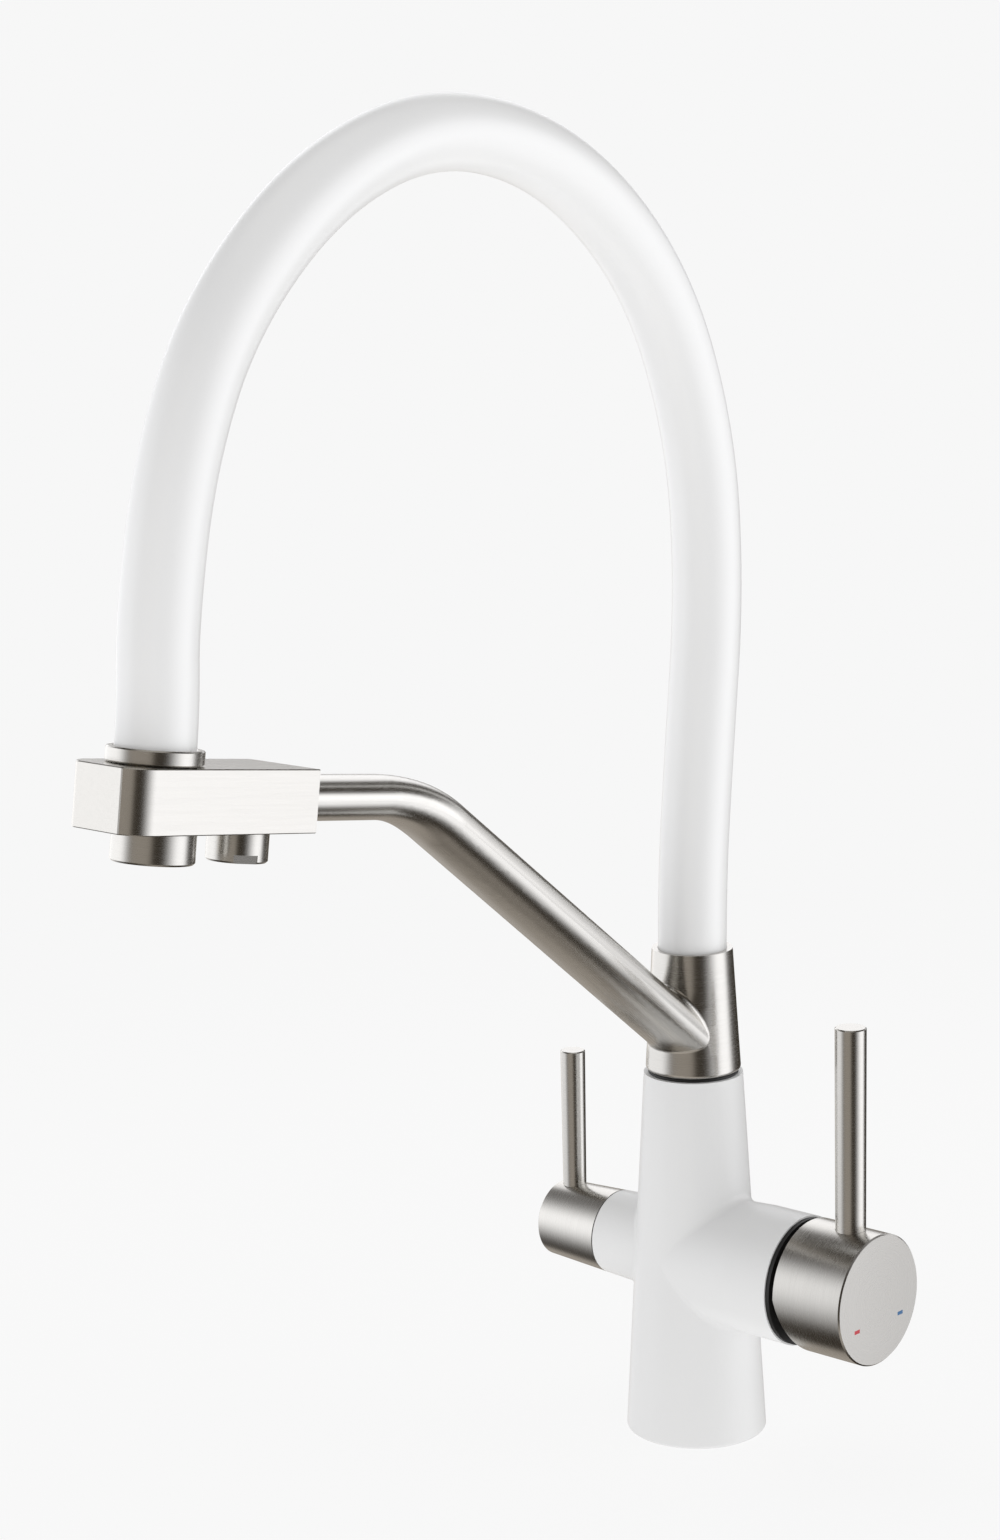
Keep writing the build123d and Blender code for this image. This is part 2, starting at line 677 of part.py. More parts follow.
with BuildPart() as filter_cap:
    back_r = filter_cone_r(filter_cap_back)
    end_r = filter_cone_r(filter_cap_end)
    add(turned(filter_line, [(filter_cap_back, 0), (filter_cap_back, back_r), (filter_cap_end, end_r),
                             (filter_cap_end, 0)]))
    chamfer(filter_cap.edges().group_by(Axis.X)[0], cap_edge)
    filter_cap_floor = filter_cap_end - filter_cap_face
    add(turned(filter_line, rod(filter_cap_back, filter_cap_floor, filter_cap_bore_r)), mode=Mode.SUBTRACT)
    add(turned(filter_line, rod(filter_cap_end - filter_boss_depth, filter_cap_floor, filter_boss_r)))
    pad_top = handle_z + (filter_cap_bore_r + end_r) / 2
    add(turned(filter_lever_line, rod(handle_z, pad_top, filter_pad_r)))
    add(turned(filter_line, rod(filter_cap_end - filter_boss_depth, filter_spindle_end, filter_spindle_r)),
        mode=Mode.SUBTRACT)
    lever_flat_room = rod(filter_lever_foot_z, filter_lever_foot_z + filter_cone_root_r,
                          filter_lever_foot_r + seated_fit)
    add(turned(filter_lever_line, lever_flat_room), mode=Mode.SUBTRACT)
    filter_spigot_end = filter_lever_foot_z - filter_spigot
    add(turned(filter_lever_line, rod(filter_spigot_end, filter_lever_foot_z, filter_spigot_r)),
        mode=Mode.SUBTRACT)
    with BuildSketch(filter_grub_plane):
        Circle(filter_grub_r)
    extrude(amount=filter_cone_root_r, mode=Mode.SUBTRACT)

with BuildPart() as filter_lever:
    add(turned(filter_lever_line, [
        (filter_spigot_end, 0), (filter_spigot_end, filter_spigot_r), (filter_lever_foot_z, filter_spigot_r),
        (filter_lever_foot_z, filter_lever_foot_r), (filter_lever_top_z - lever_edge, filter_lever_top_r),
        (filter_lever_top_z, filter_lever_top_r - lever_edge), (filter_lever_top_z, 0)]))

with BuildPart() as filter_grub_screw:
    add(grub_screw(filter_grub_plane, filter_spindle_r, filter_boss_r - seated_fit, filter_grub_r))

# Swivel post and its rings
post_seat_z = body_height - post_depth
post_ring_r = post_r - post_ring_section
post_ring_heights = (post_ring_low, post_ring_high)

with BuildPart() as swivel_post:
    add(turned(upright, rod(post_seat_z, body_height, post_thread_r)))
    add(turned(upright, rod(body_height, post_top, post_r)))
    for ring_height in post_ring_heights:
        ring_width = 2 * (post_ring_section + seated_fit)
        add(post_groove(ring_height, ring_width, ring_width), mode=Mode.SUBTRACT)
    add(post_groove(post_channel, post_channel_width, post_channel_depth), mode=Mode.SUBTRACT)
    add(post_groove(keeper_height, keeper_groove, keeper_depth), mode=Mode.SUBTRACT)
    add(turned(upright, rod(post_seat_z, post_top, mixed_way_r)), mode=Mode.SUBTRACT)
    with BuildSketch(Plane.XY.offset(post_seat_z)):
        with Locations((filtered_way_x, 0)):
            Circle(filter_way_r)
    extrude(amount=post_depth + post_channel, mode=Mode.SUBTRACT)

with BuildPart() as post_seals:
    for ring_height in post_ring_heights:
        add(seal_ring(upright, body_height + ring_height, post_ring_r, post_ring_section))

with BuildPart() as slip_ring:
    slip_ring_top = collar_bottom - face_film
    add(turned(upright, sleeve(body_height, slip_ring_top, post_r + seated_fit, slip_ring_r)))

# Collar and arm, brazed into one piece
bend_turn = radians((arm_corner - stub_root).get_angle(arm_joint - arm_corner))
bend_tangent = arm_bend_radius * tan(bend_turn / 2)
bend_start = arm_corner - tilt_in * bend_tangent
bend_middle = bend_start - tilt_up * arm_bend_radius
bend_steps = 6


def bend_plane(share):
    """The plane across the arm at a share of its bend, from the stub to the slope."""
    turn = bend_turn * share
    outward = tilt_up * cos(turn) + tilt_in * sin(turn)
    ahead = tilt_in * cos(turn) - tilt_up * sin(turn)
    return Plane(origin=bend_middle + outward * arm_bend_radius, x_dir=(1, 0, 0), z_dir=ahead)


with BuildPart() as slope:
    arm_start = arm_joint - arm_slope * (collar_bottom_r / 2)
    with BuildSketch(Plane(origin=arm_start, x_dir=(1, 0, 0), z_dir=arm_slope)):
        Ellipse(arm_root_half_width, arm_root_half_height)
    with BuildSketch(bend_plane(1)):
        Ellipse(arm_bend_half_width, arm_bend_half_height)
    loft()

with BuildPart() as swivel_arm:
    add(turned(upright, [(collar_bottom, 0), (collar_bottom, collar_bottom_r), (collar_top, collar_top_r),
                         (collar_top, 0)]))
    fillet(swivel_arm.edges().group_by(Axis.Z)[0], collar_rounding)
    add(slope.part)
    fillet(swivel_arm.edges(Select.NEW), arm_weld_r)
    width_gain = arm_bend_half_width - arm_stub_half_width
    height_gain = arm_bend_half_height - arm_stub_half_height
    for step in range(bend_steps + 1):
        share = step / bend_steps
        gain = share * share * (3 - 2 * share)
        with BuildSketch(bend_plane(share)):
            Ellipse(arm_stub_half_width + width_gain * gain, arm_stub_half_height + height_gain * gain)
    loft()
    with BuildSketch(bend_plane(0)):
        Ellipse(arm_stub_half_width, arm_stub_half_height)
    extrude(amount=-(stub_length - bend_tangent))
    with BuildSketch(Plane(origin=stub_root, x_dir=(1, 0, 0), z_dir=tilt_in)):
        Circle(stub_spigot_r)
    extrude(amount=-stub_spigot)
    # bores of the collar
    add(turned(upright, rod(collar_bottom - collar_bottom_r, web_bottom, collar_bore_r)), mode=Mode.SUBTRACT)
    add(turned(upright, rod(web_bottom, hose_seat, nipple_thread_r)), mode=Mode.SUBTRACT)
    add(turned(upright, rod(hose_seat, collar_top, hose_socket_r)), mode=Mode.SUBTRACT)
    # waterway through the arm, drilled narrower through the collar's wall
    channel_start = stub_root - tilt_in * stub_spigot
    channel_end = arm_joint - arm_slope * (collar_bottom_r + arm_channel_r)
    with BuildLine():
        FilletPolyline(channel_start, arm_corner, channel_end, radius=arm_bend_radius)
    with BuildSketch(Plane(origin=channel_start, x_dir=(1, 0, 0), z_dir=tilt_in)):
        Circle(arm_channel_r)
    sweep(mode=Mode.SUBTRACT)
    with BuildSketch(Plane(origin=arm_joint, x_dir=(1, 0, 0), z_dir=arm_slope)):
        Circle(arm_port_r)
    extrude(amount=-(collar_bottom_r + arm_channel_r), mode=Mode.SUBTRACT)
    # tapped hole of the keeper screw at the back
    keeper_plane = Plane(origin=(0, 0, body_height + keeper_height), x_dir=(1, 0, 0), z_dir=(0, 1, 0))
    with BuildSketch(keeper_plane):
        Circle(keeper_r)
    extrude(amount=collar_bottom_r + keeper_r, mode=Mode.SUBTRACT)

with BuildPart() as keeper_screw:
    keeper_tip = post_r - keeper_depth + keeper_play
    add(grub_screw(keeper_plane, keeper_tip, collar_top_r, keeper_r))

# Outlet block
shoulder_turn = acos(1 - (block_half_width - block_front_half) / block_shoulder_r)
shoulder_y = block_shoulder_r * sin(shoulder_turn) - block_front

with BuildPart() as outlet_block:
    with BuildSketch(block_top):
        with BuildLine():
            Line((0, -block_front), (block_front_half, -block_front))
            CenterArc((block_half_width - block_shoulder_r, shoulder_y), block_shoulder_r,
                      -degrees(shoulder_turn), degrees(shoulder_turn))
            Polyline((block_half_width, shoulder_y), (block_half_width, block_back), (0, block_back))
            mirror(about=Plane.YZ)
        make_face()
    extrude(amount=-block_height)
    uprights = outlet_block.edges().filter_by(Axis(block_origin, tilt_up))
    uprights = uprights.sort_by(Axis(block_origin, tilt_in))
    chamfer(uprights[:2] + uprights[-2:], block_edge)
    layers = outlet_block.edges().group_by(Axis(block_origin, tilt_up))
    chamfer(layers[0] + layers[-1], block_edge)
    # hose nipple, main nozzle and filtered-water nozzle
    add(turned(hose_line, rod(-block_height, 0, nipple_thread_r)), mode=Mode.SUBTRACT)
    add(turned(nozzle_line, rod(-nozzle_spigot - nozzle_washer, 0, nozzle_spigot_r + seated_fit)),
        mode=Mode.SUBTRACT)
    add(turned(spray_line, rod(-spray_spigot - nozzle_washer, 0, spray_spigot_r + seated_fit)),
        mode=Mode.SUBTRACT)
    # socket of the arm and the way down to the filtered-water nozzle
    stub_plane = Plane(origin=stub_root, x_dir=(1, 0, 0), z_dir=-tilt_in)
    with BuildSketch(stub_plane):
        Circle(stub_spigot_r)
    extrude(amount=stub_spigot, mode=Mode.SUBTRACT)
    with BuildSketch(stub_plane):
        Circle(arm_port_r)
    extrude(amount=block_back - spray_shift, mode=Mode.SUBTRACT)
    add(turned(spray_line, rod(-block_height / 2 - spray_way_r, 0, spray_way_r)), mode=Mode.SUBTRACT)

# Main nozzle
with BuildPart() as nozzle_housing:
    add(turned(nozzle_line, rod(-nozzle_spigot, 0, nozzle_spigot_r)))
    add(turned(nozzle_line, [(0, 0), (0, nozzle_r), (nozzle_drop - nozzle_edge, nozzle_r),
                             (nozzle_drop, nozzle_r - nozzle_edge), (nozzle_drop, 0)]))
    add(turned(nozzle_line, rod(-nozzle_spigot, nozzle_drop - nozzle_lip, nozzle_bore_r)), mode=Mode.SUBTRACT)
    add(turned(nozzle_line, rod(nozzle_drop - nozzle_lip, nozzle_drop, nozzle_lip_r)), mode=Mode.SUBTRACT)

with BuildPart() as nozzle_insert_piece:
    insert_end = nozzle_drop - nozzle_lip
    add(turned(nozzle_line, rod(insert_end - nozzle_insert, insert_end, nozzle_bore_r - turning_fit)))
    insert_face = Plane(origin=nozzle_spot - tilt_up * insert_end, x_dir=(1, 0, 0), z_dir=tilt_up)
    with BuildSketch(insert_face):
        for ring_number in (1, 2, 3):
            with PolarLocations(ring_number * nozzle_lip_r / 3.6, 6 * ring_number):
                Circle(jet_r)
        Circle(jet_r)
    extrude(amount=nozzle_insert, mode=Mode.SUBTRACT)

with BuildPart() as nozzle_washer_piece:
    washer_end = -nozzle_spigot
    add(turned(nozzle_line, sleeve(washer_end - nozzle_washer, washer_end, nozzle_bore_r, nozzle_spigot_r)))

# Filtered-water nozzle
with BuildPart() as filter_nozzle:
    add(turned(spray_line, rod(-spray_spigot, 0, spray_spigot_r)))
    add(turned(spray_line, [(0, 0), (0, spray_r), (spray_drop - nozzle_edge, spray_r),
                            (spray_drop, spray_r - nozzle_edge), (spray_drop, 0)]))
    add(turned(spray_line, rod(-spray_spigot, spray_drop - nozzle_lip, spray_bore_r)), mode=Mode.SUBTRACT)
    add(turned(spray_line, rod(spray_drop - nozzle_lip, spray_drop, spray_lip_r)), mode=Mode.SUBTRACT)
    # two key flats on the lower edge
    spray_face = Plane(origin=spray_spot - tilt_up * spray_drop, x_dir=(1, 0, 0), z_dir=tilt_up)
    with BuildSketch(spray_face):
        with PolarLocations(spray_r + key_depth, 2, start_angle=key_turn):
            Rectangle(4 * key_depth, key_width)
    extrude(amount=key_height, mode=Mode.SUBTRACT)

with BuildPart() as filter_nozzle_insert:
    spray_insert_end = spray_drop - nozzle_lip
    spray_insert_start = spray_insert_end - spray_insert
    add(turned(spray_line, rod(spray_insert_start, spray_insert_end, spray_bore_r - turning_fit)))
    with BuildSketch(Plane(origin=spray_spot - tilt_up * spray_insert_end, x_dir=(1, 0, 0), z_dir=tilt_up)):
        for ring_number in (1, 2):
            with PolarLocations(ring_number * spray_lip_r / 2.6, 6 * ring_number):
                Circle(jet_r)
        Circle(jet_r)
    extrude(amount=spray_insert, mode=Mode.SUBTRACT)

with BuildPart() as filter_nozzle_washer:
    spray_washer_end = -spray_spigot
    spray_washer = sleeve(spray_washer_end - nozzle_washer, spray_washer_end, spray_bore_r, spray_spigot_r)
    add(turned(spray_line, spray_washer))

# Hose: white sheath, inner water hose, end fittings and the ring on the outlet block
with BuildPart() as hose_sheath:
    hose_end = block_origin + tilt_up * hose_ring_gap
    add(hose_tube(Vector(0, 0, hose_seat), hose_end, hose_r, hose_bore_r))

with BuildPart() as inner_hose:
    core_start = hose_seat + nipple_flange
    add(hose_tube(Vector(0, 0, core_start), block_origin + tilt_up * nipple_flange, core_r, core_bore_r))

with BuildPart() as collar_nipple:
    barb_r = core_bore_r - turning_fit
    add(turned(upright, rod(web_bottom, hose_seat, nipple_thread_r)))
    with BuildSketch(Plane.XY.offset(hose_seat)):
        RegularPolygon(nipple_flange_r, 6)
    extrude(amount=nipple_flange)
    add(turned(upright, rod(core_start, core_start + barb_length, barb_r)))
    add(turned(upright, rod(web_bottom, core_start + barb_length, nipple_bore_r)), mode=Mode.SUBTRACT)

with BuildPart() as block_nipple:
    nipple_tip = -block_height + nozzle_spigot + nozzle_washer
    add(turned(hose_line, rod(nipple_tip, 0, nipple_thread_r)))
    with BuildSketch(block_top):
        RegularPolygon(nipple_flange_r, 6)
    extrude(amount=nipple_flange)
    block_barb_end = nipple_flange + block_barb_length
    add(turned(hose_line, rod(nipple_flange, block_barb_end, barb_r)))
    add(turned(hose_line, rod(nipple_tip, block_barb_end, nipple_bore_r)), mode=Mode.SUBTRACT)

with BuildPart() as hose_ferrules:
    ferrule_inner = core_r + turning_fit
    ferrule_outer = ferrule_inner + ferrule_wall
    ferrule_start = core_start + ferrule_gap
    add(turned(upright, sleeve(ferrule_start, core_start + barb_length, ferrule_inner, ferrule_outer)))
    block_ferrule = nipple_flange + ferrule_gap
    add(turned(hose_line, sleeve(block_ferrule, block_barb_end, ferrule_inner, ferrule_outer)))

with BuildPart() as hose_ring:
    hose_ring_top = hose_ring_gap + hose_ring_height
    add(turned(hose_line, sleeve(hose_ring_gap, hose_ring_top, hose_socket_r, hose_ring_r)))
    chamfer(hose_ring.edges().filter_by(GeomType.CIRCLE), hose_ring_edge)

pieces = {
    "mixer_body": mixer_body,
    "base_seal": base_seal,
    "cartridge_base": cartridge_base,
    "cartridge_seals": cartridge_seals,
    "fixed_disc": fixed_disc,
    "moving_disc": moving_disc,
    "disc_holder": disc_holder,
    "cartridge_carrier": cartridge_carrier,
    "stem_pin": stem_pin,
    "cartridge_stem": cartridge_stem,
    "cartridge_housing": cartridge_housing,
    "cartridge_nut": cartridge_nut,
    "dust_ring": dust_ring,
    "mixer_cap": mixer_cap,
    "mixer_lever": mixer_lever,
    "mixer_grub_screw": mixer_grub_screw,
    "hot_mark": hot_mark,
    "cold_mark": cold_mark,
    "filter_gasket": filter_gasket,
    "filter_headwork": filter_headwork,
    "filter_fixed_disc": filter_fixed_disc,
    "filter_moving_disc": filter_moving_disc,
    "filter_spindle": filter_spindle,
    "spindle_seal": spindle_seal,
    "filter_cap": filter_cap,
    "filter_lever": filter_lever,
    "filter_grub_screw": filter_grub_screw,
    "swivel_post": swivel_post,
    "post_seals": post_seals,
    "slip_ring": slip_ring,
    "swivel_arm": swivel_arm,
    "keeper_screw": keeper_screw,
    "outlet_block": outlet_block,
    "nozzle_housing": nozzle_housing,
    "nozzle_insert": nozzle_insert_piece,
    "nozzle_washer": nozzle_washer_piece,
    "filter_nozzle": filter_nozzle,
    "filter_nozzle_insert": filter_nozzle_insert,
    "filter_nozzle_washer": filter_nozzle_washer,
    "hose_sheath": hose_sheath,
    "inner_hose": inner_hose,
    "collar_nipple": collar_nipple,
    "block_nipple": block_nipple,
    "hose_ferrules": hose_ferrules,
    "hose_ring": hose_ring,
}

os.makedirs("parts", exist_ok=True)
for node, piece in pieces.items():
    piece.part.label = node
    export_step(piece.part, f"parts/{node}.step")
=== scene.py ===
"""Dresses a kitchen mixer tap: white body and hose, brushed nickel fittings, pale studio.

Every length is in metres, in the tap's own frame: origin on the worktop at the middle of the base, +Z up,
the spout towards -Y, the mixer handle towards +X and the filtered-water handle towards -X.
"""

import json
import logging
import math
from dataclasses import dataclass, field
from enum import Enum
from typing import Any

import bpy
import numpy as np
from mathutils import Matrix, Vector


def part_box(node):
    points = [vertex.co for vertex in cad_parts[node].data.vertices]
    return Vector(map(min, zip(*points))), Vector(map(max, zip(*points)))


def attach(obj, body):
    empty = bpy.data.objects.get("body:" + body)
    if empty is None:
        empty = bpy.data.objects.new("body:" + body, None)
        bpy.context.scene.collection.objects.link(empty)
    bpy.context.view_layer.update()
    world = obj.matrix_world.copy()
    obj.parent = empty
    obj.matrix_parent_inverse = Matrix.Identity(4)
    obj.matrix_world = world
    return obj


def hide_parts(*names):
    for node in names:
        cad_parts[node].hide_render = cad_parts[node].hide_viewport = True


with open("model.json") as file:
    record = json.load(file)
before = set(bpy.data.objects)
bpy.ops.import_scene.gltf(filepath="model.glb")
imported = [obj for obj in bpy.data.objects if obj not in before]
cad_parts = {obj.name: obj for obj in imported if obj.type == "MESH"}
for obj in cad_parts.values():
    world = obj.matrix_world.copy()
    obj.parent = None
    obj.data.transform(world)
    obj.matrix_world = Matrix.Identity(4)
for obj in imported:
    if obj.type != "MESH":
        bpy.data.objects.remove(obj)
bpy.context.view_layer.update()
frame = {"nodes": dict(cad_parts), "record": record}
LOG = logging.getLogger("mixer_tap")
Colour = tuple[float, float, float]
Point = tuple[float, float, float]
Span = tuple[float, float]
Flat = tuple[float, float]
Edges = tuple[float, float, float, float]
WHITE = (1.0, 1.0, 1.0, 1.0)


class NodeBoard:
    """The node tree of a material or a world, with short ways to add nodes and join them."""

    # most of a noise lies between these
    NOISE_LOW, NOISE_HIGH = 0.3, 0.7
    # a mix node's colour sockets share their names with others, so they go by number
    MIX_FIRST, MIX_SECOND, MIX_RESULT = 6, 7, 2

    def __init__(self, holder: bpy.types.Material | bpy.types.World) -> None:
        """Starts an empty tree.

        Args:
            holder: What the tree belongs to.
        """
        holder.use_nodes = True
        self.holder = holder
        self.tree = holder.node_tree
        self.tree.nodes.clear()

    @classmethod
    def of_material(cls, name: str) -> "NodeBoard":
        """The empty tree of a new material."""
        return cls(bpy.data.materials.new(name))

    def add(self, kind: str, sockets: dict[Any, Any] | None = None, **settings: Any) -> bpy.types.Node:
        """Adds one node.

        Args:
            kind: Blender's name of the node type.
            sockets: For each input, a constant or the output socket that feeds it.
            **settings: Properties of the node itself.

        Returns:
            The new node.
        """
        node = self.tree.nodes.new(kind)
        for name, value in settings.items():
            setattr(node, name, value)
        for name, value in (sockets or {}).items():
            if isinstance(value, bpy.types.NodeSocket):
                self.tree.links.new(value, node.inputs[name])
            else:
                node.inputs[name].default_value = value
        return node

    def place(self, steps: float = 1.0) -> bpy.types.NodeSocket:
        """Object coordinates, in pattern steps per metre."""
        where = self.add("ShaderNodeTexCoord").outputs["Object"]
        return self.vector("SCALE", where, Scale=steps)

    def vector(self, operation: str, first: Any, second: Any = None, **sockets: Any) -> bpy.types.NodeSocket:
        """The result of a sum on vectors, each a constant or a socket: a length, or else a vector.

        Args:
            operation: Blender's name of the sum.
            first: The first vector.
            second: The second vector, where the sum has one.
            **sockets: Other inputs.

        Returns:
            The result's socket.
        """
        inputs = {0: first, **sockets} if second is None else {0: first, 1: second, **sockets}
        node = self.add("ShaderNodeVectorMath", inputs, operation=operation)
        return node.outputs["Value" if operation == "LENGTH" else "Vector"]

    def axes(self, vector: bpy.types.NodeSocket) -> Any:
        """The sockets X, Y and Z of a vector."""
        return self.add("ShaderNodeSeparateXYZ", {"Vector": vector}).outputs

    def math(self, operation: str, first: Any, second: Any = 0.0) -> bpy.types.NodeSocket:
        """The result of a sum on two numbers, each a constant or a socket."""
        return self.add("ShaderNodeMath", {0: first, 1: second}, operation=operation).outputs[0]

    def ease(self, value: bpy.types.NodeSocket, start: float, end: float) -> bpy.types.NodeSocket:
        """A smooth step, 0 at the start and 1 at the end, which may lie below the start."""
        sockets = {"Value": value, "From Min": start, "From Max": end}
        return self.add("ShaderNodeMapRange", sockets, interpolation_type="SMOOTHSTEP").outputs[0]

    def noise(self, where: bpy.types.NodeSocket, layers: float = 3.0) -> bpy.types.NodeSocket:
        """Soft noise between 0 and 1.

        Args:
            where: Coordinates, one pattern step per unit.
            layers: How many finer layers are added.

        Returns:
            The noise's value socket.
        """
        return self.add("ShaderNodeTexNoise", {"Vector": where, "Scale": 1.0, "Detail": layers}).outputs[0]

    def spread(self, noise: bpy.types.NodeSocket, low: float, high: float) -> bpy.types.NodeSocket:
        """Stretches noise to a range.

        Args:
            noise: The noise.
            low: The result where the noise is low.
            high: The result where it is high.

        Returns:
            The stretched value's socket.
        """
        sockets = {"Value": noise, "From Min": self.NOISE_LOW, "From Max": self.NOISE_HIGH,
                   "To Min": low, "To Max": high}
        return self.add("ShaderNodeMapRange", sockets).outputs[0]

    def gloss(self, noise: bpy.types.NodeSocket, roughness: float, drift: Span) -> bpy.types.NodeSocket:
        """A roughness that wanders with noise, as far to each side as the drift says."""
        return self.spread(noise, roughness + drift[0], roughness + drift[1])

    def blend(self, share: bpy.types.NodeSocket, first: Any, second: Any) -> bpy.types.NodeSocket:
        """A number between two others, each a constant or a socket."""
        return self.add("ShaderNodeMix", {"Factor": share, "A": first, "B": second}).outputs["Result"]

    def tints(self, share: bpy.types.NodeSocket, first: Colour, second: Colour) -> bpy.types.NodeSocket:
        """A colour between two others.

        Args:
            share: 0 for the first colour, 1 for the second.
            first: Colour at 0.
            second: Colour at 1.

        Returns:
            The colour's socket.
        """
        sockets = {"Factor": share, self.MIX_FIRST: (*first, 1.0), self.MIX_SECOND: (*second, 1.0)}
        return self.add("ShaderNodeMix", sockets, data_type="RGBA").outputs[self.MIX_RESULT]

    def bump(self, height: bpy.types.NodeSocket, depth: float) -> bpy.types.NodeSocket:
        """A normal that follows a height.

        Args:
            height: Height from 0 to 1.
            depth: What 1 stands for, in metres.

        Returns:
            The normal's socket.
        """
        sockets = {"Height": height, "Distance": depth, "Strength": 1.0}
        return self.add("ShaderNodeBump", sockets).outputs["Normal"]

    def surface(self, sockets: dict[Any, Any]) -> bpy.types.Material:
        """Ends the tree in a principled surface.

        Args:
            sockets: The surface's inputs.

        Returns:
            The finished material.
        """
        shader = self.add("ShaderNodeBsdfPrincipled", sockets)
        self.add("ShaderNodeOutputMaterial", {"Surface": shader.outputs["BSDF"]})
        return self.holder


def shade(colour: Colour, share: float) -> Colour:
    """The colour times a share."""
    return (colour[0] * share, colour[1] * share, colour[2] * share)


def stand(name: str, data: Any) -> bpy.types.Object:
    """Puts a new object into the scene, at the origin.

    Args:
        name: The object's name.
        data: Its mesh, curve, camera or light.

    Returns:
        The object.
    """
    made = bpy.data.objects.new(name, data)
    bpy.context.scene.collection.objects.link(made)
    return made


@dataclass(frozen=True)
class SatinPaint:
    """Sprayed paint: an even colour with a trace of orange peel."""

    name: str
    colour: Colour
    roughness: float = 0.34
    gloss_drift: Span = (-0.03, 0.03)
    specular: float = 0.35
    peel_steps: float = 420.0
    peel_layers: float = 1.0
    peel_depth: float = 0.00003
    drift_steps: float = 22.0
    drift: float = 0.015

    def material(self) -> bpy.types.Material:
        """Colour and gloss wander slowly over the piece; the peel is a fine soft bump.

        Returns:
            The material.
        """
        board = NodeBoard.of_material(self.name)
        slow = board.noise(board.place(self.drift_steps))
        peel = board.noise(board.place(self.peel_steps), self.peel_layers)
        return board.surface({
            "Base Color": board.tints(slow, shade(self.colour, 1.0 - self.drift), self.colour),
            "Roughness": board.gloss(slow, self.roughness, self.gloss_drift),
            "Normal": board.bump(peel, self.peel_depth),
            "Specular IOR Level": self.specular,
        })


class Grain(Enum):
    """How a fitting was finished: turned about its X or Z axis, or brushed along its Y axis."""

    TURNED_X = "X"
    TURNED_Z = "Z"
    BRUSHED_Y = "Y"


@dataclass(frozen=True)
class Stroke:
    """Fine lines on a fitting, in its own axes: their kind, the fitting's middle, and its lean about X."""

    grain: Grain
    middle: Point = (0.0, 0.0, 0.0)
    lean: float = 0.0
    stretch: float = 0.015

    def place(self, board: NodeBoard, steps: float) -> bpy.types.NodeSocket:
        """Coordinates whose noise runs out into the lines.

        Brushed lines are short steps across and long ones along Y. Turned lines follow circles about the
        axis: the first coordinate is the distance along the axis plus the radius, and the others take long
        steps.

        Args:
            board: The material's tree.
            steps: Pattern steps per metre across the lines.

        Returns:
            The coordinate socket.
        """
        out = board.vector("SUBTRACT", board.place(), self.middle)
        turned = board.add("ShaderNodeMapping", {"Vector": out, "Rotation": (self.lean, 0.0, 0.0)})
        own = turned.outputs["Vector"]
        if self.grain is Grain.BRUSHED_Y:
            return board.vector("MULTIPLY", own, (steps, steps * self.stretch, steps))
        outward = [float(self.grain.value != letter) for letter in "XYZ"]
        radius = board.vector("LENGTH", board.vector("MULTIPLY", own, outward))
        along = board.axes(own)[self.grain.value]
        line = board.math("MULTIPLY", board.math("ADD", along, radius), steps)
        slow = board.vector("SCALE", own, Scale=steps * self.stretch)
        return board.vector("ADD", slow, board.add("ShaderNodeCombineXYZ", {"X": line}).outputs[0])


@dataclass(frozen=True)
class BrushedMetal:
    """Warm nickel with fine lines, in one stroke or in several that follow each other along Y."""

    name: str
    strokes: tuple[Stroke, ...]
    borders: tuple[float, ...] = ()
    border_width: float = 0.003
    colour: Colour = (0.63, 0.614, 0.582)
    tint: float = 0.97
    roughness: float = 0.25
    gloss_drift: Span = (-0.02, 0.03)
    line_steps: float = 5000.0
    line_layers: float = 2.0
    line_depth: float = 0.0000007
    streak_steps: float = 1100.0
    streak_layers: float = 3.0

    def drawn(self, board: NodeBoard, steps: float, layers: float) -> bpy.types.NodeSocket:
        """Noise along the strokes, which change at each border.

        Args:
            board: The tree.
            steps: Pattern steps per metre across the lines.
            layers: How many finer layers are added.

        Returns:
            The noise's value socket.
        """
        noises = [board.noise(stroke.place(board, steps), layers) for stroke in self.strokes]
        result = noises[0]
        where = board.axes(board.place())["Y"]
        for border, noise in zip(self.borders, noises[1:]):
            result = board.blend(board.ease(where, border, border + self.border_width), result, noise)
        return result

    def material(self) -> bpy.types.Material:
        """Two layers of drawn-out noise set the tint, the gloss and a shallow bump.

        Returns:
            The material.
        """
        board = NodeBoard.of_material(self.name)
        lines = self.drawn(board, self.line_steps, self.line_layers)
        streaks = board.spread(self.drawn(board, self.streak_steps, self.streak_layers), 0.0, 1.0)
        return board.surface({
            "Base Color": board.tints(streaks, shade(self.colour, self.tint), self.colour),
            "Metallic": 1.0,
            "Roughness": board.gloss(lines, self.roughness, self.gloss_drift),
            "Normal": board.bump(lines, self.line_depth),
        })


@dataclass(frozen=True)
class Moulding:
    """A plain inner or trim material: plastic, rubber, ceramic, enamel or turned brass."""

    name: str
    colour: Colour
    roughness: float
    metallic: float = 0.0
    tint: float = 0.85
    gloss_drift: Span = (-0.05, 0.05)
    grain_steps: float = 2500.0
    grain_depth: float = 0.00001

    def material(self) -> bpy.types.Material:
        """Fine grain breaks up the colour, the gloss and the surface.

        Returns:
            The material.
        """
        board = NodeBoard.of_material(self.name)
        grain = board.noise(board.place(self.grain_steps))
        return board.surface({
            "Base Color": board.tints(grain, shade(self.colour, self.tint), self.colour),
            "Metallic": self.metallic,
            "Roughness": board.gloss(grain, self.roughness, self.gloss_drift),
            "Normal": board.bump(grain, self.grain_depth),
        })


